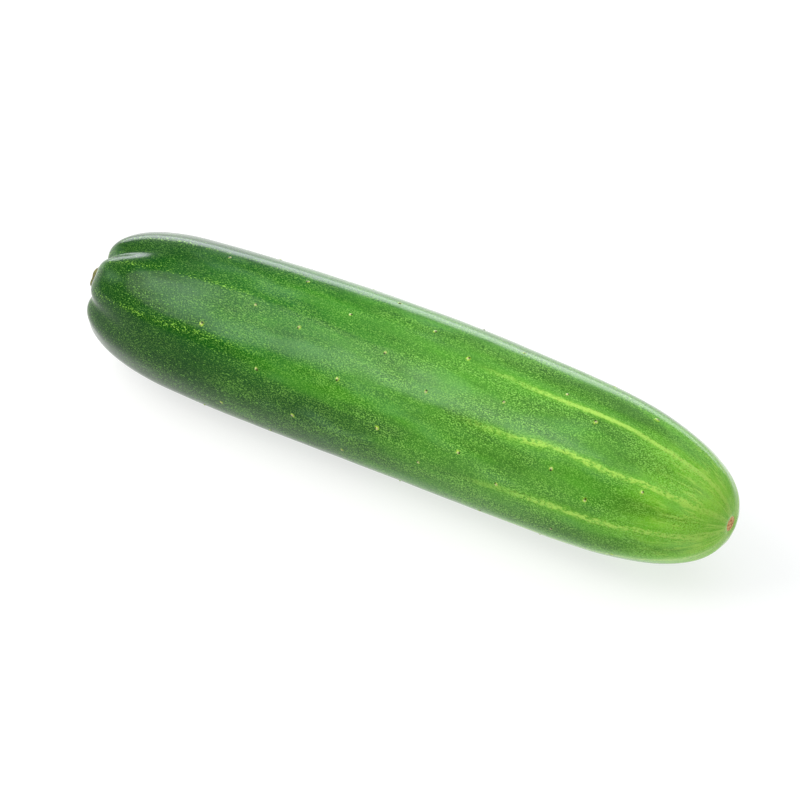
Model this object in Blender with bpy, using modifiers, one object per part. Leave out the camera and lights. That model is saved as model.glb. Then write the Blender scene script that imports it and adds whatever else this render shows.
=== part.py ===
"""A whole slicing cucumber as picked, lying on its side on a flat surface.

The fruit lies along X, with its stem end at -X and its blossom end at +X, and it stands on z = 0.
It grew as one piece: the body, the stub of its stem and the small spine warts are one closed solid.
Angles round the fruit run from its top (0), over its front (-Y, 90) and its underside (180) to its back.
"""

import math
import random

import bmesh
import bpy
from mathutils import Matrix, Vector, noise

MM = 0.001

# The body
HALF_LENGTH = 110.0 * MM
WIDEST_RADIUS = 25.1 * MM
WIDEST_AT = -16.0 * MM
STEM_SIDE_TAPER = 6.3 * MM
BLOSSOM_SIDE_TAPER = 2.6 * MM
STEM_ROUNDING = (42.0 * MM, 3.0, 3.9)  # length, ease into the barrel, fullness of the end
BLOSSOM_ROUNDING = (61.0 * MM, 2.6, 2.55)
BOW = 2.85 * MM
BOW_AT = 17.0 * MM
TWIST = math.radians(-20.0)  # of the ribs, from the stem end to the blossom end
STEM_FACE_LEAN = math.radians(13.8)
STEM_FACE_LEANS_AT = math.radians(49.0)
STEM_LEAN_FADES = 50.0 * MM

# Relief of the body
STEM_DIMPLE_DEPTH = 3.5 * MM
STEM_DIMPLE_RADIUS = 8.8 * MM
GROOVES = (  # angle round the stem end, in degrees, and depth
    (10.0, 2.2 * MM),
    (80.0, 1.1 * MM),
    (150.0, 0.9 * MM),
    (225.0, 1.5 * MM),
    (298.0, 1.1 * MM),
)
GROOVE_WIDTH = math.radians(9.0)
GROOVE_STARTS = (3.5 * MM, 11.0 * MM)  # radius at which a groove begins and is at its depth
GROOVE_FADES = (5.0 * MM, 30.0 * MM)  # distances from the stem end
RIBS = 10
RIBS_START = (3.0 * MM, 17.0 * MM)  # radius at which the ribs begin and stand at full height
FIRST_RIB = math.radians(27.0)
RIB_HEIGHT = 0.2 * MM
RIB_AT_ENDS = 0.36 * MM
SWELL_HEIGHT = 0.3 * MM
SWELL_SIZE = 38.0 * MM
SCAR_DEPTH = 0.5 * MM
SCAR_RADIUS = 2.7 * MM
REST_DEPTH = 0.7 * MM

# The stub of the stem
STUB_LENGTH = 4.7 * MM
STUB_ROOT = 3.0 * MM
STUB_PROFILE = (  # height along the stub as a share of its length, and radius
    (0.00, 5.0 * MM),
    (0.25, 3.9 * MM),
    (0.60, 3.3 * MM),
    (0.90, 3.5 * MM),
    (1.00, 3.1 * MM),
)
STUB_HOLLOW = 0.4 * MM
STUB_LOBES = 5
STUB_LOBE_DEPTH = 0.07

# The spine warts
WARTS = 72
WART_BAND = (-62.0 * MM, 88.0 * MM)
WART_RADIUS = 0.7 * MM
WART_TAPER = (1.25, 0.45)  # shares of the radius, at the root and at the tip
WART_HEIGHT = 0.35 * MM
WART_ROOT = 0.8 * MM
WART_SIDES = 6
WART_JITTER = 3.0 * MM
WART_TURN_JITTER = math.radians(8.6)
WART_CLEAR_OF_REST = math.radians(32.0)
GOLDEN_ANGLE = math.radians(137.508)
SEED = 7

# Facets
AROUND = 64
ALONG = 56
STUB_SIDES = 30
SHARP_ANGLE = math.radians(40.0)
SLOPE_STEP = 1e-4  # radians
CUT_SNAP = 0.05 * MM
WELD = 0.001 * MM

SKIN_GREEN = (0.09, 0.27, 0.045, 1.0)
SKIN_ROUGHNESS = 0.38


def clear_scene():
    for obj in list(bpy.data.objects):
        bpy.data.objects.remove(obj, do_unlink=True)


def smooth_step(low, high, value):
    share = min(1.0, max(0.0, (value - low) / (high - low)))
    return share * share * (3.0 - 2.0 * share)


def outward(angle):
    """The direction that faces away from the fruit's axis at an angle round it."""
    return Vector((0.0, -math.sin(angle), math.cos(angle)))


def round_end(distance, length, ease, fullness):
    """The share of the barrel's radius at a distance from a tip: 0 at the tip, and 1 past length."""
    away = max(0.0, 1.0 - distance / length)
    return max(0.0, 1.0 - away**ease) ** (1.0 / fullness)


def radius_at(x):
    """The radius of the plain body: a barrel that tapers both ways, with its two ends rounded off."""
    x = min(HALF_LENGTH, max(-HALF_LENGTH, x))
    taper = STEM_SIDE_TAPER if x < WIDEST_AT else BLOSSOM_SIDE_TAPER
    barrel = WIDEST_RADIUS - taper * ((x - WIDEST_AT) / HALF_LENGTH) ** 2
    stem_end = round_end(x + HALF_LENGTH, *STEM_ROUNDING)
    blossom_end = round_end(HALF_LENGTH - x, *BLOSSOM_ROUNDING)
    return barrel * stem_end * blossom_end


def middle_at(x):
    """The centre of the cross-section: the fruit bows a little towards its back."""
    share = min(1.0, max(-1.0, (x - BOW_AT) / HALF_LENGTH))
    return Vector((x, BOW * math.cos(0.5 * math.pi * share) ** 2, 0.0))


def twist_at(x):
    """How far the ribs have turned round the fruit, counted from the stem end."""
    return TWIST * (x + HALF_LENGTH) / (2.0 * HALF_LENGTH)


def lean_at(x, radius, angle):
    """How far the leaning face of the stem end shifts a point along the fruit."""
    fade = 1.0 - smooth_step(0.0, STEM_LEAN_FADES, x + HALF_LENGTH)
    return math.tan(STEM_FACE_LEAN) * radius * math.cos(angle - STEM_FACE_LEANS_AT) * fade


def slope_at(polar):
    """The plain body's normal at a polar angle from the stem end: its shares along and out from the axis."""
    if polar < SLOPE_STEP or polar > math.pi - SLOPE_STEP:
        return -math.cos(polar), 0.0
    before = -HALF_LENGTH * math.cos(polar - SLOPE_STEP)
    after = -HALF_LENGTH * math.cos(polar + SLOPE_STEP)
    rise = radius_at(after) - radius_at(before)
    run = after - before
    size = math.hypot(rise, run)
    return -rise / size, run / size


def grooves(x, radius, angle):
    """Depth of the creases that run from the stem over the shoulder, between the lobes of the stem end."""
    begins = smooth_step(*GROOVE_STARTS, radius)
    fades = 1.0 - smooth_step(*GROOVE_FADES, x + HALF_LENGTH)
    depth = 0.0
    for degrees, deepest in GROOVES:
        off = angle - math.radians(degrees)
        off = math.atan2(math.sin(off), math.cos(off)) / GROOVE_WIDTH
        depth += deepest / (1.0 + off * off)
    return depth * begins * fades


def ribs(x, angle):
    """Height of the low ribs along the fruit, which stand out most near its ends."""
    phase = RIBS * (angle - FIRST_RIB - twist_at(x))
    near_end = abs(x / HALF_LENGTH) ** 3
    height = RIB_HEIGHT + (RIB_AT_ENDS - RIB_HEIGHT) * near_end
    return 0.5 * height * math.cos(phase)


def relief(x, radius, angle, point):
    """How far the surface stands out from the plain body, along its normal."""
    end_ease = smooth_step(*RIBS_START, radius)
    height = ribs(x, angle) * end_ease
    height += SWELL_HEIGHT * noise.noise(point / SWELL_SIZE) * end_ease
    if x < 0.0:
        height -= grooves(x, radius, angle)
        height -= STEM_DIMPLE_DEPTH * math.exp(-((radius / STEM_DIMPLE_RADIUS) ** 2))
    else:
        height -= SCAR_DEPTH * math.exp(-((radius / SCAR_RADIUS) ** 4))
    return height


def surface_point(polar, angle):
    """A point of the finished skin, from a polar angle off the stem end and an angle round the fruit."""
    x = -HALF_LENGTH * math.cos(polar)
    radius = radius_at(x)
    along, out = slope_at(polar)
    plain = middle_at(x) + radius * outward(angle)
    normal = along * Vector((1.0, 0.0, 0.0)) + out * outward(angle)
    point = plain + relief(x, radius, angle, plain) * normal
    point.x += lean_at(x, radius, angle)
    return point, normal


def make_body():
    """A sphere's grid drawn out into the fruit, with the underside cut flat where the fruit rests."""
    bm = bmesh.new()
    bmesh.ops.create_uvsphere(bm, u_segments=AROUND, v_segments=ALONG, radius=1.0)
    for vert in bm.verts:
        polar = math.acos(min(1.0, max(-1.0, -vert.co.z)))
        angle = math.atan2(vert.co.y, vert.co.x)
        vert.co, _ = surface_point(polar, angle)
    floor = REST_DEPTH - WIDEST_RADIUS
    cut = bmesh.ops.bisect_plane(
        bm,
        geom=bm.verts[:] + bm.edges[:] + bm.faces[:],
        dist=CUT_SNAP,
        plane_co=(0.0, 0.0, floor),
        plane_no=(0.0, 0.0, -1.0),
        clear_outer=True,
    )
    rim = [item for item in cut["geom_cut"] if isinstance(item, bmesh.types.BMEdge)]
    flat = bmesh.ops.holes_fill(bm, edges=rim, sides=0)
    for vert in flat["faces"][0].verts:
        vert.co.z = floor
    bmesh.ops.recalc_face_normals(bm, faces=bm.faces)
    return finish_mesh("cucumber", bm)


def finish_mesh(name, bm, collection=None):
    mesh = bpy.data.meshes.new(name)
    bm.to_mesh(mesh)
    bm.free()
    obj = bpy.data.objects.new(name, mesh)
    (collection or bpy.context.scene.collection).objects.link(obj)
    return obj


def make_stub(collection):
    """The stub of the stem: a turned profile with five soft lobes, on the stem end's dimple."""
    profile = bmesh.new()
    tip = profile.verts.new((0.0, 0.0, STUB_LENGTH - STUB_HOLLOW))
    verts = [tip]
    for share, radius in reversed(STUB_PROFILE):
        verts.append(profile.verts.new((radius, 0.0, share * STUB_LENGTH)))
    verts.append(profile.verts.new((STUB_PROFILE[0][1], 0.0, -STUB_ROOT)))
    verts.append(profile.verts.new((0.0, 0.0, -STUB_ROOT)))
    for upper, lower in zip(verts, verts[1:]):
        profile.edges.new((upper, lower))
    turned = finish_mesh("stub_profile", profile, collection)
    screw = turned.modifiers.new("turn", "SCREW")
    screw.steps = STUB_SIDES
    screw.render_steps = STUB_SIDES
    screw.use_merge_vertices = True
    screw.merge_threshold = WELD
    stub = as_mesh(turned, "stub", collection)
    pole, _ = surface_point(0.0, 0.0)
    face = Vector((-math.cos(STEM_FACE_LEAN), 0.0, 0.0))
    face += math.sin(STEM_FACE_LEAN) * outward(STEM_FACE_LEANS_AT)
    along_stem = face.to_track_quat("Z", "Y").to_matrix().to_4x4()
    for vert in stub.data.vertices:
        angle = math.atan2(vert.co.y, vert.co.x)
        lobes = 1.0 + STUB_LOBE_DEPTH * math.cos(STUB_LOBES * angle)
        vert.co.x *= lobes
        vert.co.y *= lobes
    stub.data.transform(Matrix.Translation(pole) @ along_stem)
    return stub


def as_mesh(source, name, collection):
    """The evaluated shape of an object as a plain closed mesh object, which takes the object's place."""
    bpy.context.view_layer.update()
    evaluated = source.evaluated_get(bpy.context.evaluated_depsgraph_get())
    mesh = bpy.data.meshes.new_from_object(evaluated)
    mesh.transform(source.matrix_world)
    bm = bmesh.new()
    bm.from_mesh(mesh)
    bmesh.ops.remove_doubles(bm, verts=bm.verts, dist=WELD)
    bmesh.ops.recalc_face_normals(bm, faces=bm.faces)
    bm.to_mesh(mesh)
    bm.free()
    bpy.data.objects.remove(source, do_unlink=True)
    obj = bpy.data.objects.new(name, mesh)
    collection.objects.link(obj)
    return obj


def wart_places():
    """Places of the warts as (polar angle, angle round): a spiral with a little jitter, clear of the rest."""
    draw = random.Random(SEED)
    low, high = WART_BAND
    for number in range(WARTS):
        share = (number + 0.5) / WARTS
        x = low + (high - low) * share + draw.uniform(-WART_JITTER, WART_JITTER)
        angle = number * GOLDEN_ANGLE + draw.uniform(-WART_TURN_JITTER, WART_TURN_JITTER)
        from_below = abs(math.atan2(math.sin(angle - math.pi), math.cos(angle - math.pi)))
        if from_below > WART_CLEAR_OF_REST:
            yield math.acos(-x / HALF_LENGTH), angle


def make_warts(collection):
    """Each wart is a low blunt cone that stands on the skin, with its root sunk well in."""
    depth = WART_HEIGHT + WART_ROOT
    for number, (polar, angle) in enumerate(wart_places()):
        point, normal = surface_point(polar, angle)
        bm = bmesh.new()
        bmesh.ops.create_cone(
            bm,
            cap_ends=True,
            segments=WART_SIDES,
            radius1=WART_TAPER[0] * WART_RADIUS,
            radius2=WART_TAPER[1] * WART_RADIUS,
            depth=depth,
        )
        turn = normal.to_track_quat("Z", "Y").to_matrix().to_4x4()
        centre = point + (0.5 * depth - WART_ROOT) * normal
        bm.transform(Matrix.Translation(centre) @ turn)
        finish_mesh(f"wart_{number}", bm, collection)


def fuse(body, growths):
    """The body with everything in the growths collection joined to it, as one closed mesh."""
    union = body.modifiers.new("growths", "BOOLEAN")
    union.operation = "UNION"
    union.operand_type = "COLLECTION"
    union.collection = growths
    union.solver = "EXACT"
    fused = as_mesh(body, "fused", bpy.context.scene.collection)
    for obj in list(growths.objects):
        bpy.data.objects.remove(obj, do_unlink=True)
    bpy.data.collections.remove(growths)
    return fused


def stand_on_origin(obj):
    """Moves the mesh so that its box stands on the origin, at the middle of the box's underside."""
    corners = [Vector(corner) for corner in obj.bound_box]
    low = Vector(map(min, *corners))
    high = Vector(map(max, *corners))
    middle = (low + high) / 2.0
    obj.data.transform(Matrix.Translation((-middle.x, -middle.y, -low.z)))


def skin_material():
    material = bpy.data.materials.new("cucumber_skin")
    material.use_nodes = True
    shader = material.node_tree.nodes["Principled BSDF"]
    shader.inputs["Base Color"].default_value = SKIN_GREEN
    shader.inputs["Roughness"].default_value = SKIN_ROUGHNESS
    shader.inputs["Metallic"].default_value = 0.0
    return material


def main():
    clear_scene()
    growths = bpy.data.collections.new("growths")
    bpy.context.scene.collection.children.link(growths)
    body = make_body()
    make_stub(growths)
    make_warts(growths)
    fruit = fuse(body, growths)
    fruit.name = "cucumber"
    fruit.data.name = "cucumber"
    stand_on_origin(fruit)
    fruit.data.materials.clear()
    fruit.data.materials.append(skin_material())
    fruit.data.shade_smooth()
    fruit.data.set_sharp_from_angle(angle=SHARP_ANGLE)
    home = bpy.data.collections.new("cucumber")
    bpy.context.scene.collection.children.link(home)
    bpy.context.scene.collection.objects.unlink(fruit)
    home.objects.link(fruit)


main()
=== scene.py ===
"""The looks of a whole slicing cucumber that lies on its side on a pale floor.

The skin, the stub of the stem, its corky collar, the blossom scar and the spine warts are each a fine
piece. They are shaped round the fruit's own axis first, and then all moved together to where the solid
fruit stands. Angles round the fruit run from its top (0), over its front (-Y, 90) and its underside (180)
to its back.
"""

import functools
import math
import random

import bmesh
import bpy
from mathutils import Matrix, Vector, noise


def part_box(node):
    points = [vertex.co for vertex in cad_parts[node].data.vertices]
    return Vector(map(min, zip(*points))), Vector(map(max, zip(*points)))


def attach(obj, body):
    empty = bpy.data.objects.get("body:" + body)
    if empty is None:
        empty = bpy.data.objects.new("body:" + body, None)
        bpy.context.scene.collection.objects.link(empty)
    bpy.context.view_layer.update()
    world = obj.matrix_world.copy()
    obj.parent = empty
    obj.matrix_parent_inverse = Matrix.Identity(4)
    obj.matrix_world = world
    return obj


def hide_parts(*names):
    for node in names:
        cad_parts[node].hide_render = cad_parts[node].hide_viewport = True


MM = 0.001

# The body, as the solid has it
HALF_LENGTH = 110.0 * MM
WIDEST_RADIUS = 25.1 * MM
WIDEST_AT = -16.0 * MM
STEM_SIDE_TAPER = 6.3 * MM
BLOSSOM_SIDE_TAPER = 2.6 * MM
STEM_ROUNDING = (42.0 * MM, 3.0, 3.9)  # length, ease into the barrel, fullness of the end
BLOSSOM_ROUNDING = (61.0 * MM, 2.6, 2.55)
BOW = 2.85 * MM
BOW_AT = 17.0 * MM
TWIST = math.radians(-20.0)  # of the ribs, from the stem end to the blossom end
STEM_FACE_LEAN = math.radians(13.8)
STEM_FACE_LEANS_AT = math.radians(49.0)
STEM_LEAN_FADES = 50.0 * MM
STEM_DIMPLE_DEPTH = 3.5 * MM
STEM_DIMPLE_RADIUS = 8.8 * MM
GROOVES = (  # angle round the stem end, in degrees, and depth
    (10.0, 2.2 * MM),
    (80.0, 1.1 * MM),
    (150.0, 0.9 * MM),
    (225.0, 1.5 * MM),
    (298.0, 1.1 * MM),
)
GROOVE_WIDTH = math.radians(9.0)
GROOVE_STARTS = (3.5 * MM, 11.0 * MM)
GROOVE_FADES = (5.0 * MM, 30.0 * MM)
RIBS = 10
RIBS_START = (3.0 * MM, 17.0 * MM)
FIRST_RIB = math.radians(27.0)
RIB_HEIGHT = 0.2 * MM
RIB_AT_ENDS = 0.36 * MM
SWELL_HEIGHT = 0.3 * MM
SWELL_SIZE = 38.0 * MM
SCAR_DEPTH = 0.5 * MM
SCAR_RADIUS = 2.7 * MM
REST_DEPTH = 0.7 * MM

# Finer relief of the skin
AROUND = 310
ALONG = 310
LUMP_HEIGHT = 0.07 * MM
LUMP_SIZE = 8.0 * MM
WRINKLES = 23
WRINKLE_HEIGHT = 0.14 * MM
WRINKLE_BAND = (4.5 * MM, 6.0 * MM, 12.0 * MM)  # radius at which they begin, stand highest and end
WRINKLE_BUMPS = 3.0
SLOPE_STEP = 1e-4
CUT_SNAP = 0.02 * MM
WELD = 0.001 * MM

# The stub of the stem and its collar
STUB_LENGTH = 4.4 * MM
STUB_ROOT = 2.0 * MM
STUB_PROFILE = (  # height along the stub as a share of its length, and radius
    (0.00, 5.0 * MM),
    (0.12, 4.35 * MM),
    (0.25, 3.9 * MM),
    (0.42, 3.55 * MM),
    (0.60, 3.35 * MM),
    (0.76, 3.4 * MM),
    (0.90, 3.5 * MM),
    (0.97, 3.4 * MM),
    (1.00, 3.1 * MM),
    (0.97, 2.7 * MM),
    (0.93, 2.1 * MM),
    (0.92, 1.4 * MM),
    (0.88, 0.7 * MM),
)
STUB_PITH = 0.80  # height of the middle of the cut face, as a share of the stub's length
STUB_SIDES = 90
STUB_LOBES = 5
STUB_LOBE_DEPTH = 0.07
STUB_FIBRES = 31
STUB_FIBRE_DEPTH = 0.02  # share of the radius
STUB_BUMPS = 2.0
STUB_WANDER = 2.0  # how much the bumps shift and swell the fibres
STUB_UNEVEN = 0.03  # share of the height
COLLAR_TEETH = 15
COLLAR_RADIUS = 4.7 * MM
COLLAR_JITTER = 0.35  # of the radius, in millimetres
TOOTH_SIDES = 7
TOOTH_TIP = 0.25  # share of the width at the root
TOOTH_BULGE = 0.4  # how much its sides round out
TOOTH_HALF_LENGTH = (0.5, 1.0)  # least and most, in millimetres
TOOTH_HALF_WIDTH = (0.55, 0.95)
TOOTH_HALF_THICKNESS = 0.32 * MM
TOOTH_LEAN = (50.0, 84.0)  # degrees off the stem's axis
TOOTH_TURN = 0.25  # share of the space between two teeth
TOOTH_RISE = (0.05, 0.3)  # over the dimple, in millimetres
TOOTH_DENTS = (0.16 * MM, 0.5 * MM)  # depth and size
SHIFT_LAYERS = (  # where in the noise a shift's x, y and z are read
    (9.3, -1.5, -7.9),
    (0.0, 0.0, 0.0),
    (6.3, 0.2, -2.7),
)

# The blossom scar
SCAR_HEIGHT = 0.42 * MM
SCAR_SINK = 0.18 * MM
SCAR_DOME = 0.6  # below 1, so that the crust rises steeply at its edge
SCAR_PIT = (0.22, 0.5)  # radius and depth, as shares of the scar's own
SCAR_EDGE = (  # bumps round it, their depth as a share of the radius, and a layer of noise
    (1.7, 0.12, 4.0),
    (6.0, 0.05, 9.0),
)
SCAR_CRUST = (  # fineness, height as a share of the scar's own, and a layer of noise
    (7.0, 0.22, 1.0),
    (17.0, 0.12, 2.0),
)

# The spine warts
WARTS = 72
WART_BAND = (-62.0 * MM, 88.0 * MM)
WART_JITTER = 3.0 * MM
WART_TURN_JITTER = math.radians(8.6)
WART_CLEAR_OF_REST = math.radians(32.0)
WART_MOUND = (1.25 * MM, 0.14 * MM)  # radius and height
WART_NIPPLE = (0.3 * MM, 0.12 * MM)
WART_EDGE_SINK = 0.1 * MM
WART_ROOT = 0.5 * MM
WART_SIZES = (0.75, 1.15)
WART_FLARE = 1.5  # above 1, so that the mound's rings lie closer at its middle
UPPER_HALF = -0.01  # the part of a ball of radius 1 above this height, its rim too, makes the mound
SPECK_OFF = 0.52 * MM  # from the middle of the wart
SPECK_RADIUS = 0.4 * MM
GOLDEN_ANGLE = math.radians(137.508)
SEED = 7

# The camera, which looks at the middle of the fruit's axis
CAMERA_AZIMUTH = math.radians(32.9)
CAMERA_ELEVATION = math.radians(37.0)
CAMERA_DISTANCE = 1.0
CAMERA_LENS = 153.84
CAMERA_SENSOR = 36.0
AIM_BELOW = 1.27 * MM

# The floor, the room and its lamps
FLOOR_REACH = 6.0
FLOOR_SHADE = (0.28, 0.28, 0.28, 1.0)
FLOOR_GLOW = 0.72
FLOOR_ROUGHNESS = 0.7
ROOM_SHADE = (0.96, 0.98, 1.0, 1.0)
ROOM_STRENGTH = 0.2
SOFTBOXES = (  # name, direction from the fruit, distance, size, power in watts, and tint
    ("overhead_softbox", (0.0, 0.0, 1.0), 1.3, (2.4, 2.4), 21.0, (0.93, 0.97, 1.0)),
    ("left_softbox", (-0.6, -0.42, 0.74), 0.8, (0.65, 0.6), 5.6, (1.0, 0.99, 0.92)),
    ("back_panel", (-0.43, 0.87, 0.13), 1.8, (3.0, 0.52), 22.0, (0.9, 0.9, 1.0)),
)


def smooth_step(low, high, value):
    """0 up to low and 1 from high on, eased at both."""
    share = min(1.0, max(0.0, (value - low) / (high - low)))
    return share * share * (3.0 - 2.0 * share)


def outward(angle):
    """The direction that faces away from the fruit's axis at an angle round it."""
    return Vector((0.0, -math.sin(angle), math.cos(angle)))


def round_end(distance, length, ease, fullness):
    """The share of the barrel's radius at a distance from a tip: 0 at the tip, and 1 past length."""
    away = max(0.0, 1.0 - distance / length)
    return max(0.0, 1.0 - away**ease) ** (1.0 / fullness)


def radius_at(x):
    """The radius of the plain body: a barrel that tapers both ways, with its two ends rounded off."""
    x = min(HALF_LENGTH, max(-HALF_LENGTH, x))
    taper = STEM_SIDE_TAPER if x < WIDEST_AT else BLOSSOM_SIDE_TAPER
    barrel = WIDEST_RADIUS - taper * ((x - WIDEST_AT) / HALF_LENGTH) ** 2
    stem_end = round_end(x + HALF_LENGTH, *STEM_ROUNDING)
    blossom_end = round_end(HALF_LENGTH - x, *BLOSSOM_ROUNDING)
    return barrel * stem_end * blossom_end


def middle_at(x):
    """The centre of the cross-section: the fruit bows a little towards its back."""
    share = min(1.0, max(-1.0, (x - BOW_AT) / HALF_LENGTH))
    return Vector((x, BOW * math.cos(0.5 * math.pi * share) ** 2, 0.0))


def twist_at(x):
    """How far the ribs have turned round the fruit, counted from the stem end."""
    return TWIST * (x + HALF_LENGTH) / (2.0 * HALF_LENGTH)


def lean_at(x, radius, angle):
    """How far the leaning face of the stem end shifts a point along the fruit."""
    fade = 1.0 - smooth_step(0.0, STEM_LEAN_FADES, x + HALF_LENGTH)
    return math.tan(STEM_FACE_LEAN) * radius * math.cos(angle - STEM_FACE_LEANS_AT) * fade


def slope_at(polar):
    """The plain body's normal at a polar angle from the stem end: its shares along and off the axis."""
    if polar < SLOPE_STEP or polar > math.pi - SLOPE_STEP:
        return -math.cos(polar), 0.0
    before = -HALF_LENGTH * math.cos(polar - SLOPE_STEP)
    after = -HALF_LENGTH * math.cos(polar + SLOPE_STEP)
    rise = radius_at(after) - radius_at(before)
    run = after - before
    size = math.hypot(rise, run)
    return -rise / size, run / size


def grooves(x, radius, angle):
    """Depth of the creases that run from the stem over the shoulder, between the lobes of the stem end."""
    begins = smooth_step(*GROOVE_STARTS, radius)
    fades = 1.0 - smooth_step(*GROOVE_FADES, x + HALF_LENGTH)
    if fades == 0.0:
        return 0.0
    depth = 0.0
    for degrees, deepest in GROOVES:
        off = angle - math.radians(degrees)
        off = math.atan2(math.sin(off), math.cos(off)) / GROOVE_WIDTH
        depth += deepest / (1.0 + off * off)
    return depth * begins * fades


def ribs(x, angle):
    """Height of the low ribs along the fruit, which stand out most near its ends."""
    phase = RIBS * (angle - FIRST_RIB - twist_at(x))
    near_end = abs(x / HALF_LENGTH) ** 3
    height = RIB_HEIGHT + (RIB_AT_ENDS - RIB_HEIGHT) * near_end
    return 0.5 * height * math.cos(phase)


def relief(x, radius, angle, point):
    """How far the surface stands out from the plain body, along its normal."""
    end_ease = smooth_step(*RIBS_START, radius)
    height = ribs(x, angle) * end_ease
    height += SWELL_HEIGHT * noise.noise(point / SWELL_SIZE) * end_ease
    if x < 0.0:
        height -= grooves(x, radius, angle)
        height -= STEM_DIMPLE_DEPTH * math.exp(-((radius / STEM_DIMPLE_RADIUS) ** 2))
    else:
        height -= SCAR_DEPTH * math.exp(-((radius / SCAR_RADIUS) ** 4))
    return height


@functools.lru_cache(maxsize=None)
def ring_at(polar):
    """What a whole ring of the plain body shares, at a polar angle from the stem end."""
    x = -HALF_LENGTH * math.cos(polar)
    along, out = slope_at(polar)
    return x, radius_at(x), middle_at(x), along, out


def surface_point(polar, angle):
    """A point of the skin and the way it faces, from a polar angle off the stem end and an angle round."""
    x, radius, middle, along, out = ring_at(polar)
    plain = middle + radius * outward(angle)
    normal = along * Vector((1.0, 0.0, 0.0)) + out * outward(angle)
    point = plain + relief(x, radius, angle, plain) * normal
    point.x += lean_at(x, radius, angle)
    return point, normal


def noise_round(angle, bumps, layer):
    """Uneven height round a circle, from about -1 to 1: with more bumps it changes more often."""
    return noise.noise(Vector((bumps * math.cos(angle), bumps * math.sin(angle), layer)))


def wrinkles(radius, angle):
    """Height of the fine creases that run out from the stem across its dimple."""
    begin, highest, end = WRINKLE_BAND
    share = smooth_step(begin, highest, radius) * (1.0 - smooth_step(highest, end, radius))
    uneven = 0.5 + noise_round(angle, WRINKLE_BUMPS, radius / LUMP_SIZE)
    return WRINKLE_HEIGHT * share * uneven * math.cos(WRINKLES * angle)


def fine_point(polar, angle):
    """A point of the fine skin, which also has soft lumps all over and wrinkles round the stem."""
    point, normal = surface_point(polar, angle)
    x, radius, _, _, _ = ring_at(polar)
    height = LUMP_HEIGHT * noise.noise(point / LUMP_SIZE)
    if x < 0.0:
        height += wrinkles(radius, angle)
    return point + height * normal, normal


def new_piece(name, bm):
    """A mesh object from a bmesh, welded, with its faces outwards and shaded smooth."""
    bmesh.ops.remove_doubles(bm, verts=bm.verts, dist=WELD)
    bmesh.ops.recalc_face_normals(bm, faces=bm.faces)
    mesh = bpy.data.meshes.new(name)
    bm.to_mesh(mesh)
    bm.free()
    mesh.shade_smooth()
    obj = bpy.data.objects.new(name, mesh)
    bpy.context.scene.collection.objects.link(obj)
    return obj


def make_skin():
    """A grid rolled up into the fruit, seamed along its back, and cut flat below where it rests."""
    bm = bmesh.new()
    unrolled = bm.loops.layers.uv.new("OFBake")
    bmesh.ops.create_grid(bm, x_segments=ALONG, y_segments=AROUND, size=1.0, calc_uvs=True)
    for vert in bm.verts:
        polar = 0.5 * math.pi * (1.0 + vert.co.x)
        angle = math.pi * (0.5 + vert.co.y)
        vert.co, _ = fine_point(polar, angle)
    bmesh.ops.remove_doubles(bm, verts=bm.verts, dist=WELD)
    floor = REST_DEPTH - WIDEST_RADIUS
    cut = bmesh.ops.bisect_plane(
        bm,
        geom=bm.verts[:] + bm.edges[:] + bm.faces[:],
        dist=CUT_SNAP,
        plane_co=(0.0, 0.0, floor),
        plane_no=(0.0, 0.0, -1.0),
        clear_outer=True,
    )
    rim = [item for item in cut["geom_cut"] if isinstance(item, bmesh.types.BMEdge)]
    flat = bmesh.ops.holes_fill(bm, edges=rim, sides=0)
    for face in flat["faces"]:
        for loop in face.loops:
            loop.vert.co.z = floor
            loop[unrolled].uv = loop.link_loop_radial_next.link_loop_next[unrolled].uv
    return new_piece("cucumber_skin", bm)


def stem_place():
    """The place of the stem's axis, which stands square on the leaning face of the stem end."""
    pole, _ = surface_point(0.0, 0.0)
    face = Vector((-math.cos(STEM_FACE_LEAN), 0.0, 0.0))
    face += math.sin(STEM_FACE_LEAN) * outward(STEM_FACE_LEANS_AT)
    return Matrix.Translation(pole) @ face.to_track_quat("Z", "Y").to_matrix().to_4x4()


def make_stub():
    """The stub of the stem: a turned profile with soft lobes, fibres and a sunken cut face."""
    bm = bmesh.new()
    cut_face = bm.verts.layers.float.new("cut_face")
    outline = [(-STUB_ROOT, STUB_PROFILE[0][1])]
    outline += [(share * STUB_LENGTH, radius) for share, radius in STUB_PROFILE]
    outline.append((STUB_PITH * STUB_LENGTH, 0.0))
    rim = outline.index(max(outline))
    verts = []
    for number, (height, radius) in enumerate(outline):
        verts.append(bm.verts.new((radius, 0.0, height)))
        verts[-1][cut_face] = 1.0 if number > rim else 0.0
    edges = [bm.edges.new(pair) for pair in zip(verts, verts[1:])]
    bmesh.ops.spin(
        bm,
        geom=verts + edges,
        cent=(0.0, 0.0, 0.0),
        axis=(0.0, 0.0, 1.0),
        angle=2.0 * math.pi,
        steps=STUB_SIDES,
        use_merge=True,
    )
    for vert in bm.verts:
        angle = math.atan2(vert.co.y, vert.co.x)
        uneven = noise_round(angle, STUB_BUMPS, vert.co.z / MM)
        wander = STUB_WANDER * uneven
        wider = 1.0 + STUB_LOBE_DEPTH * math.cos(STUB_LOBES * angle)
        wider += STUB_FIBRE_DEPTH * (math.cos(STUB_FIBRES * angle + wander) + wander)
        vert.co.x *= wider
        vert.co.y *= wider
        vert.co.z *= 1.0 + STUB_UNEVEN * uneven
    bm.transform(stem_place())
    return new_piece("stem_stub", bm)


def uneven_shift(place):
    """A shift of up to about 1 each way, which is the same each time for the same place."""
    return Vector([noise.noise(place + Vector(offset)) for offset in SHIFT_LAYERS])


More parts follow.
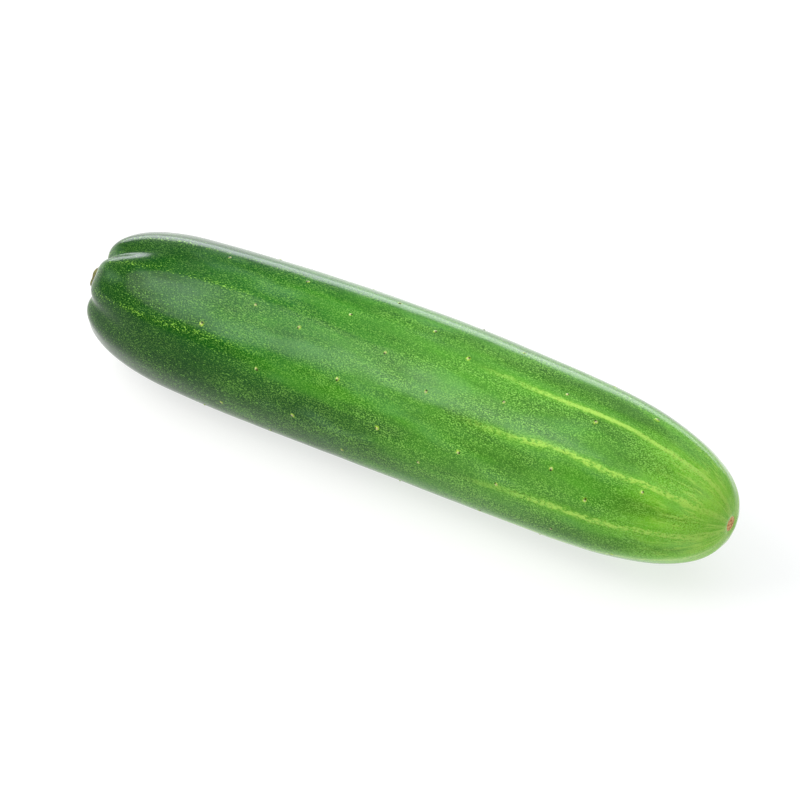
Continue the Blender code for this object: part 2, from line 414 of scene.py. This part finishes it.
def make_collar():
    """The corky collar round the stub: small ragged teeth that lean outwards on the stem's dimple."""
    draw = random.Random(SEED)
    bm = bmesh.new()
    stem = stem_place()
    dent_depth, dent_size = TOOTH_DENTS
    for number in range(COLLAR_TEETH):
        tooth = bmesh.new()
        bmesh.ops.create_cone(
            tooth,
            cap_ends=True,
            segments=TOOTH_SIDES,
            radius1=1.0,
            radius2=TOOTH_TIP,
            depth=2.0,
        )
        bmesh.ops.subdivide_edges(tooth, edges=tooth.edges, cuts=1, smooth=TOOTH_BULGE)
        length = draw.uniform(*TOOTH_HALF_LENGTH) * MM
        width = draw.uniform(*TOOTH_HALF_WIDTH) * MM
        size = Matrix.Diagonal((TOOTH_HALF_THICKNESS, width, length, 1.0))
        lean = Matrix.Rotation(math.radians(draw.uniform(*TOOTH_LEAN)), 4, "Y")
        place = number + draw.uniform(-TOOTH_TURN, TOOTH_TURN)
        turn = Matrix.Rotation(math.tau * place / COLLAR_TEETH, 4, "Z")
        out = COLLAR_RADIUS + draw.uniform(-COLLAR_JITTER, COLLAR_JITTER) * MM
        risen = STEM_DIMPLE_DEPTH * (1.0 - math.exp(-((out / STEM_DIMPLE_RADIUS) ** 2)))
        seat = Matrix.Translation((out, 0.0, risen + draw.uniform(*TOOTH_RISE) * MM))
        tooth.transform(stem @ turn @ seat @ lean @ size)
        for vert in tooth.verts:
            vert.co += dent_depth * uneven_shift(vert.co / dent_size)
        mesh = bpy.data.meshes.new("tooth")
        tooth.to_mesh(mesh)
        tooth.free()
        bm.from_mesh(mesh)
        bpy.data.meshes.remove(mesh)
    return new_piece("stem_collar", bm)


def make_scar():
    """The blossom scar: a rough dry button in a shallow dip, with a ragged edge and a pit in its middle."""
    bm = bmesh.new()
    bmesh.ops.create_icosphere(bm, subdivisions=5, radius=1.0)
    pole, normal = surface_point(math.pi, 0.0)
    pit_radius, pit_depth = SCAR_PIT
    for vert in bm.verts:
        x, y, z = vert.co
        angle = math.atan2(y, z)
        ragged = 1.0
        for bumps, depth, layer in SCAR_EDGE:
            ragged += depth * noise_round(angle, bumps, layer)
        height = x
        if x > 0.0:
            crust = 0.0
            for fineness, rise, layer in SCAR_CRUST:
                crust += rise * noise.noise(Vector((fineness * y, fineness * z, layer)))
            pit = pit_depth * math.exp(-((math.hypot(y, z) / pit_radius) ** 2))
            height = x**SCAR_DOME + crust * x - pit
        vert.co = Vector((SCAR_HEIGHT * height, SCAR_RADIUS * ragged * y, SCAR_RADIUS * ragged * z))
    bm.transform(Matrix.Translation(pole - SCAR_SINK * normal))
    return new_piece("blossom_scar", bm)


def wart_places():
    """Polar angle and angle round of each wart, on a jittered spiral that keeps off the underside."""
    draw = random.Random(SEED)
    low, high = WART_BAND
    for number in range(WARTS):
        share = (number + 0.5) / WARTS
        x = low + (high - low) * share + draw.uniform(-WART_JITTER, WART_JITTER)
        angle = number * GOLDEN_ANGLE + draw.uniform(-WART_TURN_JITTER, WART_TURN_JITTER)
        from_below = abs(math.atan2(math.sin(angle - math.pi), math.cos(angle - math.pi)))
        if from_below > WART_CLEAR_OF_REST:
            yield math.acos(-x / HALF_LENGTH), angle


def make_warts():
    """Each wart is a low mound with a tiny dry nipple, which has a dark speck beside its tip."""
    draw = random.Random(SEED + 1)
    bm = bmesh.new()
    halo, dry, dark = [bm.verts.layers.float.new(name) for name in ("wart_halo", "wart_dry", "wart_dark")]
    mound_radius, mound_height = WART_MOUND
    nipple_radius, nipple_height = WART_NIPPLE
    for polar, angle in wart_places():
        point, normal = fine_point(polar, angle)
        turn = normal.to_track_quat("Z", "Y").to_matrix()
        size = draw.uniform(*WART_SIZES)
        speck_at = draw.uniform(0.0, math.tau)
        made = bmesh.ops.create_uvsphere(bm, u_segments=14, v_segments=12, radius=1.0)
        for vert in made["verts"]:
            tilt = math.acos(min(1.0, abs(vert.co.z))) / (0.5 * math.pi)
            around = math.atan2(vert.co.y, vert.co.x)
            out = mound_radius * size * tilt**WART_FLARE
            x, y = out * math.cos(around), out * math.sin(around)
            if vert.co.z > UPPER_HALF:
                nipple = math.exp(-((out / nipple_radius) ** 2))
                height = mound_height * (1.0 - tilt**2) ** 2 + nipple_height * nipple
                height -= WART_EDGE_SINK * tilt**2
                from_speck = (x - SPECK_OFF * math.cos(speck_at), y - SPECK_OFF * math.sin(speck_at))
                vert[halo] = (1.0 - tilt) * size
                vert[dry] = nipple
                vert[dark] = math.exp(-((math.hypot(*from_speck) / SPECK_RADIUS) ** 4))
            else:
                height = -WART_EDGE_SINK - WART_ROOT * (1.0 - tilt)
            vert.co = point + turn @ Vector((x, y, height))
    return new_piece("spine_warts", bm)


def stand_in_frame(pieces):
    """Moves the pieces together to where the solid fruit stands, skin on skin, and returns how far."""
    points = [vert.co for vert in pieces[0].data.vertices]
    low = [min(point[axis] for point in points) for axis in range(3)]
    high = [max(point[axis] for point in points) for axis in range(3)]
    solid_low, solid_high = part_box("cucumber")
    shift = Vector((
        solid_high.x - high[0],
        0.5 * (solid_low.y + solid_high.y - low[1] - high[1]),
        solid_low.z - low[2],
    ))
    for piece in pieces:
        piece.data.transform(Matrix.Translation(shift))
    return shift


def colour(red, green, blue):
    """A colour seen on a screen, from 0 to 255 each, as the light that it reflects."""
    return tuple((value / 255.0) ** 2.2 for value in (red, green, blue)) + (1.0,)


class Paint:
    """Short ways to add the nodes of one material and join them up."""

    def __init__(self, name):
        self.material = bpy.data.materials.new(name)
        self.material.use_nodes = True
        self.tree = self.material.node_tree
        self.shader = self.tree.nodes["Principled BSDF"]
        self.place = self.add("ShaderNodeTexCoord").outputs["Object"]

    def add(self, kind, **settings):
        node = self.tree.nodes.new(kind)
        for key, value in settings.items():
            setattr(node, key, value)
        return node

    def feed(self, socket, value):
        if isinstance(value, bpy.types.NodeSocket):
            self.tree.links.new(value, socket)
        else:
            socket.default_value = value

    def math(self, operation, *values, clamp=False):
        node = self.add("ShaderNodeMath", operation=operation, use_clamp=clamp)
        for socket, value in zip(node.inputs, values):
            self.feed(socket, value)
        return node.outputs[0]

    def product(self, first, *others):
        for other in others:
            first = self.math("MULTIPLY", first, other)
        return first

    def vector(self, x, y, z):
        node = self.add("ShaderNodeCombineXYZ")
        for socket, value in zip(node.inputs, (x, y, z)):
            self.feed(socket, value)
        return node.outputs[0]

    def split(self, vector):
        node = self.add("ShaderNodeSeparateXYZ")
        self.feed(node.inputs[0], vector)
        return node.outputs

    def mapped(self, location=(0.0, 0.0, 0.0), scale=(1.0, 1.0, 1.0)):
        node = self.add("ShaderNodeMapping")
        self.feed(node.inputs["Vector"], self.place)
        node.inputs["Location"].default_value = location
        node.inputs["Scale"].default_value = scale
        return node.outputs[0]

    def noise(self, vector, scale, detail, roughness):
        node = self.add("ShaderNodeTexNoise")
        self.feed(node.inputs["Vector"], vector)
        node.inputs["Scale"].default_value = scale
        node.inputs["Detail"].default_value = detail
        node.inputs["Roughness"].default_value = roughness
        return node.outputs["Fac"]

    def pattern(self, stretch, fineness, detail, roughness, offset=(0.0, 0.0, 0.0)):
        """Noise from 0 to 1; a stretch below 1 draws it out along the fruit."""
        return self.noise(self.mapped(offset, (stretch, 1.0, 1.0)), fineness, detail, roughness)

    def cell_distance(self, scale):
        """The distance from the middle of the nearest of many scattered cells."""
        node = self.add("ShaderNodeTexVoronoi")
        self.feed(node.inputs["Vector"], self.mapped())
        node.inputs["Scale"].default_value = scale
        return node.outputs["Distance"]

    def between(self, value, low, high):
        """0 at low and 1 at high, eased at both; low may be the larger."""
        node = self.add("ShaderNodeMapRange", interpolation_type="SMOOTHSTEP")
        self.feed(node.inputs["Value"], value)
        node.inputs["From Min"].default_value = low
        node.inputs["From Max"].default_value = high
        return node.outputs["Result"]

    def swing(self, value, reach):
        """A 0 to 1 value turned into one that swings as far as reach either way."""
        return self.math("MULTIPLY_ADD", value, 2.0 * reach, -reach)

    def graded(self, share, low, high):
        """low where the share is 0, and high where it is 1."""
        return self.math("MULTIPLY_ADD", share, high - low, low)

    def ramp(self, value, stops):
        node = self.add("ShaderNodeValToRGB")
        self.feed(node.inputs["Fac"], value)
        elements = node.color_ramp.elements
        while len(elements) < len(stops):
            elements.new(0.5)
        for element, (position, shade) in zip(elements, stops):
            element.position = position
            element.color = shade
        return node.outputs["Color"]

    def mix(self, share, first, second):
        node = self.add("ShaderNodeMix", data_type="RGBA")
        self.feed(node.inputs["Factor"], share)
        self.feed(node.inputs["A"], first)
        self.feed(node.inputs["B"], second)
        return node.outputs["Result"]

    def attribute(self, name):
        return self.add("ShaderNodeAttribute", attribute_name=name).outputs["Fac"]

    def bump(self, height, distance, strength):
        node = self.add("ShaderNodeBump")
        self.feed(node.inputs["Height"], height)
        node.inputs["Distance"].default_value = distance
        node.inputs["Strength"].default_value = strength
        self.feed(self.shader.inputs["Normal"], node.outputs["Normal"])

    def finish(self, base, roughness):
        self.feed(self.shader.inputs["Base Color"], base)
        self.feed(self.shader.inputs["Roughness"], roughness)
        return self.material


# Colours of the skin along the fruit, as a share of its length from the stem end
SKIN_SHADES = (
    (0.00, colour(22, 60, 24)),
    (0.12, colour(12, 66, 12)),
    (0.25, colour(20, 86, 16)),
    (0.36, colour(44, 110, 30)),
    (0.50, colour(68, 130, 42)),
    (0.68, colour(80, 140, 50)),
    (0.86, colour(86, 146, 52)),
    (0.95, colour(118, 190, 50)),
    (1.00, colour(152, 214, 76)),
)
STRIPE_SHADE = colour(172, 218, 92)
DASH_SHADE = colour(146, 204, 78)
SPECK_SHADE = colour(118, 176, 72)
GRAIN_SHADE = colour(146, 206, 92)
GLOW_SHADE = colour(110, 184, 44)
# dark green for darker skin, also the painted shade on the sides and underside of the stem half
DARK_SHADE = colour(20, 58, 18)
VIVID_SHADE = colour(84, 168, 34)
BLOOM_SHADE = colour(130, 176, 136)
HALO_SHADE = colour(184, 222, 66)
DRY_SHADE = colour(226, 206, 180)
SPECK_DARK = colour(24, 34, 14)

# Colours of the stub, its collar and the scar
BARK_DARK = colour(74, 78, 44)
BARK_PALE = colour(146, 142, 84)
BARK_BLOTCH = colour(116, 98, 58)
PITH_DARK = colour(170, 186, 92)
PITH_PALE = colour(206, 204, 138)
CORK_SHADES = (
    (0.3, colour(120, 108, 66)),
    (0.5, colour(186, 180, 132)),
    (0.7, colour(226, 222, 190)),
)
SCAR_SHADES = (
    (0.28, colour(170, 92, 46)),
    (0.42, colour(212, 142, 76)),
    (0.54, colour(228, 182, 120)),
    (0.68, colour(244, 224, 182)),
)
SCAR_CRACK = colour(122, 62, 34)

# Noise patterns: stretch along the fruit, fineness, detail and roughness
DRIFTING_PATCHES = (0.35, 55.0, 3.0, 0.55)
MOTTLE = (0.22, 230.0, 3.0, 0.6)
VIVID_PATCHES = (0.22, 120.0, 2.0, 0.5)
DUSTY_PATCHES = (0.3, 90.0, 2.0, 0.5, (0.3, 0.1, 0.2))  # and an offset
GRAIN = (0.55, 3700.0, 1.5, 0.6)
GRAIN_PATCHES = (0.35, 170.0, 2.0, 0.5)
STRIPE_WAVES = (0.6, 45.0, 2.0, 0.5)
STRIPE_EDGES = (0.5, 1100.0, 3.0, 0.75)
STRIPE_STRENGTH = (0.3, 260.0, 2.0, 0.5)
STRIPE_GAPS = (0.45, 1500.0, 2.0, 0.5)
FLECK_CLUMPS = (0.4, 85.0, 2.0, 0.5)
FLECKS = (0.4, 3300.0, 1.2, 0.6)
WART_FLECKS = (1.0, 2300.0, 2.0, 0.5)
WAX = (0.4, 420.0, 3.0, 0.5)
PORES = (1.0, 1400.0, 2.0, 0.6)
STEM_FIBRES = (0.2, 1500.0, 3.0, 0.6)
STEM_BLOTCHES = (1.0, 420.0, 3.0, 0.5)
CORK_CRUMBS = (1.0, 1800.0, 4.0, 0.65)
SCAR_CRUMBS = (1.0, 1500.0, 4.0, 0.65)
SCAR_CELLS = 1300.0
END_STREAKS = (17.0, 3.0, 0.7)  # fineness, detail and roughness

# How strongly the layers of colour show, at most
# The first of these is the painted shade on the sides and underside of the stem half.
PAINTED_SHADE_BELOW_SHARE = 0.74
VIVID_SHARE = 0.32
DUSTY_SHARE = 0.16
DARK_GRAIN_SHARE = 0.45
VALLEY_SHARE = 0.4
GLOW_SHARE = 0.5
FLECK_SHARE = 0.8
STREAK_SHARE = 0.9
WART_FLECK_SHARE = 0.7
WART_DRY_SHARE = 0.7
BLOTCH_SHARE = 0.6
CRACK_SHARE = 0.5

# How far the layers of colour drift and waver
SHADE_DRIFT = 0.1  # share of the fruit's length
STRIPE_START_DRIFT = 0.16
STRIPE_RAGGED = 1.1  # millimetres
STRIPE_WAVER = 0.1  # radians round the fruit
STRIPE_UNEVEN = math.radians(9.0)  # sets the stripes wider apart in front of the first rib than behind it

# Surfaces: how deep and how strong the relief of each is, and how rough it is
PORE_BUMP = (0.05 * MM, 0.3)
FIBRE_BUMP = (0.12 * MM, 0.7)
CORK_BUMP = (0.1 * MM, 0.8)
SCAR_BUMP = (0.12 * MM, 0.8)
SKIN_ROUGHNESS = (0.43, 0.57)
STUB_ROUGHNESS = 0.78
COLLAR_ROUGHNESS = 0.85
SCAR_ROUGHNESS = 0.75
SKIN_IOR = 1.1
WAX_IOR = 1.2
WAX_ROUGHNESS = 0.15


class FruitPlace:
    """Where a point of the skin lies on the fruit, as sockets of one paint."""

    def __init__(self, paint, shift):
        x, y, z = paint.split(paint.mapped(location=tuple(-shift)))
        share = paint.math("DIVIDE", paint.math("SUBTRACT", x, BOW_AT), HALF_LENGTH)
        share = paint.math("MAXIMUM", paint.math("MINIMUM", share, 1.0), -1.0)
        arch = paint.math("POWER", paint.math("COSINE", paint.product(share, 0.5 * math.pi)), 2.0)
        forward = paint.math("SUBTRACT", paint.product(arch, BOW), y)
        squares = paint.math("ADD", paint.product(forward, forward), paint.product(z, z))
        self.angle = paint.math("ARCTAN2", forward, z)
        self.radius = paint.math("SQRT", squares)
        self.along = paint.math("MULTIPLY_ADD", x, 0.5 / HALF_LENGTH, 0.5)
        self.forward = paint.math("DIVIDE", forward, self.radius)
        self.up = paint.math("DIVIDE", z, self.radius)


def lengthwise_shade(paint, place):
    """The skin's main colour: dark at the stem, yellow-green at the blossom, in soft drifting patches."""
    drift = paint.swing(paint.pattern(*DRIFTING_PATCHES), SHADE_DRIFT)
    base = paint.ramp(paint.math("ADD", place.along, drift), SKIN_SHADES)
    # Painted shade: the sides and underside of the stem half are painted darker, where shade falls on them.
    low = paint.between(place.up, 0.62, 0.05)
    below = paint.product(low, paint.between(place.along, 0.75, 0.4), PAINTED_SHADE_BELOW_SHARE)
    base = paint.mix(below, base, DARK_SHADE)
    mottle = paint.between(paint.pattern(*MOTTLE), 0.42, 0.72)
    from_tip = paint.graded(paint.between(place.along, 0.98, 0.8), 0.08, 0.38)
    base = paint.mix(paint.product(mottle, from_tip), base, DARK_SHADE)
    vivid = paint.product(paint.between(paint.pattern(*VIVID_PATCHES), 0.48, 0.68), VIVID_SHARE)
    base = paint.mix(paint.product(vivid, paint.between(place.along, 0.1, 0.5)), base, VIVID_SHADE)
    dusty = paint.between(paint.pattern(*DUSTY_PATCHES), 0.5, 0.7)
    return paint.mix(paint.product(dusty, DUSTY_SHARE), base, BLOOM_SHADE)


def add_grain(paint, place, base):
    """The fine light and dark grain of the skin's cells."""
    grain = paint.pattern(*GRAIN)
    patches = paint.between(paint.pattern(*GRAIN_PATCHES), 0.35, 0.65)
    amount = paint.graded(patches, 0.45, 1.0)
    pale = paint.graded(paint.between(place.along, 0.15, 0.7), 0.22, 0.82)
    light = paint.product(paint.between(grain, 0.52, 0.62), pale, amount)
    base = paint.mix(light, base, GRAIN_SHADE)
    from_tip = paint.graded(paint.between(place.along, 0.99, 0.88), 0.9, 1.0)
    dark = paint.product(paint.between(grain, 0.5, 0.37), amount, from_tip, DARK_GRAIN_SHARE)
    return paint.mix(dark, base, DARK_SHADE)


def stripe_distance(paint, place):
    """Millimetres along the skin from the nearest stripe's middle line, which wavers."""
    spread = paint.math("COSINE", paint.math("SUBTRACT", place.angle, FIRST_RIB))
    spread = paint.math("MULTIPLY_ADD", spread, STRIPE_UNEVEN, -STRIPE_UNEVEN)
    waver = paint.swing(paint.pattern(*STRIPE_WAVES), STRIPE_WAVER)
    turn = paint.math("MULTIPLY_ADD", place.along, -TWIST, -FIRST_RIB)
    turned = paint.math("ADD", paint.math("ADD", place.angle, turn), paint.math("ADD", spread, waver))
    from_middle = paint.math("ARCCOSINE", paint.math("COSINE", paint.product(turned, float(RIBS))))
    return paint.product(from_middle, 1.0 / RIBS, place.radius, 1.0 / MM)


def add_stripes(paint, place, base):
    """Ragged yellow-green stripes on the blossom half, one to a rib, with a soft glow beside them."""
    ragged = paint.swing(paint.pattern(*STRIPE_EDGES), STRIPE_RAGGED)
    away = paint.math("ADD", stripe_distance(paint, place), ragged)
    patches = paint.pattern(*DRIFTING_PATCHES)
    start_drift = paint.swing(patches, STRIPE_START_DRIFT)
    begins = paint.between(paint.math("ADD", place.along, start_drift), 0.63, 0.79)
    behind_top = paint.product(
        paint.between(place.up, 0.55, 0.75),
        paint.between(place.forward, 0.1, -0.2),
    )
    fades = paint.graded(paint.between(place.along, 0.995, 0.95), 0.8, 1.0)
    fades = paint.product(fades, paint.graded(behind_top, 1.0, 0.1))
    valleys = paint.product(paint.between(away, 2.6, 5.5), paint.between(patches, 0.4, 0.6), VALLEY_SHARE)
    base = paint.mix(paint.product(valleys, begins), base, DARK_SHADE)
    glow = paint.product(paint.between(away, 2.8, 0.3), begins, fades, GLOW_SHARE)
    base = paint.mix(glow, base, GLOW_SHADE)
    upper = paint.product(paint.between(place.up, 0.8, 0.95), paint.between(place.forward, -0.3, 0.0))
    whole = paint.product(upper, paint.between(place.along, 0.68, 0.8))
    broken = paint.math("MAXIMUM", paint.between(paint.pattern(*STRIPE_GAPS), 0.36, 0.54), whole)
    uneven = paint.graded(paint.pattern(*STRIPE_STRENGTH), 0.6, 1.4)
    line = paint.product(paint.between(away, 1.05, 0.3), begins, fades, broken)
    line = paint.math("MULTIPLY", line, uneven, clamp=True)
    return paint.mix(line, base, STRIPE_SHADE)


def add_speckles(paint, place, base):
    """Pale flecks, in clumps on the stem half and brightest along the ribs of its upper side."""
    crowd = paint.product(
        paint.between(paint.pattern(*FLECK_CLUMPS), 0.36, 0.62),
        paint.between(place.along, 0.85, 0.3),
        paint.between(place.along, -0.05, 0.15),
    )
    lines = paint.product(
        paint.between(stripe_distance(paint, place), 1.5, 0.2),
        paint.between(place.up, 0.0, 0.45),
        paint.between(place.along, 0.02, 0.06),
        paint.between(place.along, 0.36, 0.2),
    )
    level = paint.graded(crowd, -0.67, -0.61)
    level = paint.math("ADD", level, paint.product(lines, 0.06))
    fleck = paint.between(paint.math("ADD", paint.pattern(*FLECKS), level), 0.0, 0.05)
    shade = paint.mix(lines, SPECK_SHADE, DASH_SHADE)
    return paint.mix(paint.product(fleck, FLECK_SHARE), base, shade)


def add_end_streaks(paint, place, base):
    """Fine pale streaks that run together at the blossom scar and at the stem."""
    turn = paint.vector(place.forward, place.up, paint.product(place.along, 2.5))
    streaks = paint.between(paint.noise(turn, *END_STREAKS), 0.48, 0.62)
    blossom = paint.between(place.along, 0.88, 0.985)
    stem = paint.product(paint.between(place.along, 0.05, 0.01), 0.25)
    share = paint.product(streaks, paint.math("ADD", blossom, stem), STREAK_SHARE)
    return paint.mix(share, base, STRIPE_SHADE)


def add_wart_marks(paint, base):
    """The pale flecks round each wart, its dry tip and the dark speck beside it."""
    flecks = paint.between(paint.pattern(*WART_FLECKS), 0.4, 0.52)
    halo = paint.between(paint.attribute("wart_halo"), 0.1, 0.45)
    base = paint.mix(paint.product(flecks, halo, WART_FLECK_SHARE), base, HALO_SHADE)
    base = paint.mix(paint.product(paint.attribute("wart_dry"), WART_DRY_SHARE), base, DRY_SHADE)
    return paint.mix(paint.attribute("wart_dark"), base, SPECK_DARK)


def skin_material(shift, name, warts=False):
    """Waxy skin, with the warts' own colours where the piece has warts."""
    paint = Paint(name)
    place = FruitPlace(paint, shift)
    base = lengthwise_shade(paint, place)
    base = add_stripes(paint, place, base)
    base = add_end_streaks(paint, place, base)
    base = add_grain(paint, place, base)
    base = add_speckles(paint, place, base)
    if warts:
        base = add_wart_marks(paint, base)
    paint.bump(paint.pattern(*PORES), *PORE_BUMP)
    paint.shader.inputs["IOR"].default_value = SKIN_IOR
    paint.shader.inputs["Coat Weight"].default_value = 1.0
    paint.shader.inputs["Coat IOR"].default_value = WAX_IOR
    paint.shader.inputs["Coat Roughness"].default_value = WAX_ROUGHNESS
    return paint.finish(base, paint.graded(paint.pattern(*WAX), *SKIN_ROUGHNESS))


def stub_material():
    """Dry corky stem: olive-brown bark with lengthwise fibres, and a paler cut face."""
    paint = Paint("corky_stem")
    fibres = paint.pattern(*STEM_FIBRES)
    blotches = paint.pattern(*STEM_BLOTCHES)
    bark = paint.mix(paint.between(fibres, 0.35, 0.68), BARK_DARK, BARK_PALE)
    bark = paint.mix(paint.product(paint.between(blotches, 0.5, 0.7), BLOTCH_SHARE), bark, BARK_BLOTCH)
    pith = paint.mix(paint.between(blotches, 0.35, 0.65), PITH_DARK, PITH_PALE)
    base = paint.mix(paint.between(paint.attribute("cut_face"), 0.2, 0.9), bark, pith)
    paint.bump(fibres, *FIBRE_BUMP)
    return paint.finish(base, STUB_ROUGHNESS)


def collar_material():
    """Pale cork, with darker hollows."""
    paint = Paint("pale_cork")
    crumbs = paint.pattern(*CORK_CRUMBS)
    paint.bump(crumbs, *CORK_BUMP)
    return paint.finish(paint.ramp(crumbs, CORK_SHADES), COLLAR_ROUGHNESS)


def scar_material():
    """Dry orange-brown scar with pale crumbs and dark cracks."""
    paint = Paint("dry_scar")
    crumbs = paint.pattern(*SCAR_CRUMBS)
    cracks = paint.product(paint.between(paint.cell_distance(SCAR_CELLS), 0.5, 0.75), CRACK_SHARE)
    paint.bump(crumbs, *SCAR_BUMP)
    return paint.finish(paint.mix(cracks, paint.ramp(crumbs, SCAR_SHADES), SCAR_CRACK), SCAR_ROUGHNESS)


def make_floor():
    """A plain white floor, which glows a little so that shadows on it stay pale."""
    paint = Paint("white_floor")
    paint.shader.inputs["Emission Color"].default_value = (1.0, 1.0, 1.0, 1.0)
    paint.shader.inputs["Emission Strength"].default_value = FLOOR_GLOW
    bm = bmesh.new()
    bmesh.ops.create_grid(bm, x_segments=1, y_segments=1, size=FLOOR_REACH)
    floor = new_piece("floor", bm)
    floor.data.materials.append(paint.finish(FLOOR_SHADE, FLOOR_ROUGHNESS))


def add_softbox(aim, name, direction, distance, size, power, tint):
    """A soft rectangular lamp, which faces a point."""
    light = bpy.data.lights.new(name, "AREA")
    light.shape = "RECTANGLE"
    light.size, light.size_y = size
    light.energy = power
    light.color = tint
    lamp = bpy.data.objects.new(name, light)
    bpy.context.scene.collection.objects.link(lamp)
    away = Vector(direction).normalized()
    lamp.location = aim + distance * away
    lamp.rotation_euler = away.to_track_quat("Z", "Y").to_euler()


def light_scene(aim):
    """A dim white room, a large lamp overhead, one up on the left, and a panel behind the fruit."""
    world = bpy.data.worlds.new("white_room")
    world.use_nodes = True
    background = world.node_tree.nodes["Background"]
    background.inputs["Color"].default_value = ROOM_SHADE
    background.inputs["Strength"].default_value = ROOM_STRENGTH
    bpy.context.scene.world = world
    for softbox in SOFTBOXES:
        add_softbox(aim, *softbox)
    bpy.context.scene.view_settings.view_transform = "Standard"


def place_camera(aim):
    """The camera stands back from a point of the fruit and sees it a little above the picture's middle."""
    level = Vector((math.sin(CAMERA_AZIMUTH), -math.cos(CAMERA_AZIMUTH), 0.0))
    back = math.cos(CAMERA_ELEVATION) * level + Vector((0.0, 0.0, math.sin(CAMERA_ELEVATION)))
    turn = back.to_track_quat("Z", "Y")
    up = turn @ Vector((0.0, 1.0, 0.0))
    camera = bpy.data.cameras.new("camera")
    camera.lens = CAMERA_LENS
    camera.sensor_width = CAMERA_SENSOR
    rig = bpy.data.objects.new("camera", camera)
    bpy.context.scene.collection.objects.link(rig)
    rig.location = aim - AIM_BELOW * up + CAMERA_DISTANCE * back
    rig.rotation_euler = turn.to_euler()
    bpy.context.scene.camera = rig


def dress(piece, material):
    """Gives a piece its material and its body."""
    piece.data.materials.append(material)
    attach(piece, "root")


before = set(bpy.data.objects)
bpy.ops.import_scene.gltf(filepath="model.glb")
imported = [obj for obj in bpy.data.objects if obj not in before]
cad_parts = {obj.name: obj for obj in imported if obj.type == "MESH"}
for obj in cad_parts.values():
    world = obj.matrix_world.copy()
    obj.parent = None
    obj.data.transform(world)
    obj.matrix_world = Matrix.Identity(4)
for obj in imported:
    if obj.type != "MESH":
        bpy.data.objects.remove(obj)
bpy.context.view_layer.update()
skin = make_skin()
stub = make_stub()
collar = make_collar()
scar = make_scar()
warts = make_warts()
shift = stand_in_frame([skin, stub, collar, scar, warts])
dress(skin, skin_material(shift, "waxy_skin"))
dress(stub, stub_material())
dress(collar, collar_material())
dress(scar, scar_material())
dress(warts, skin_material(shift, "warty_skin", warts=True))
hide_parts("cucumber")
make_floor()
light_scene(shift)
place_camera(shift)
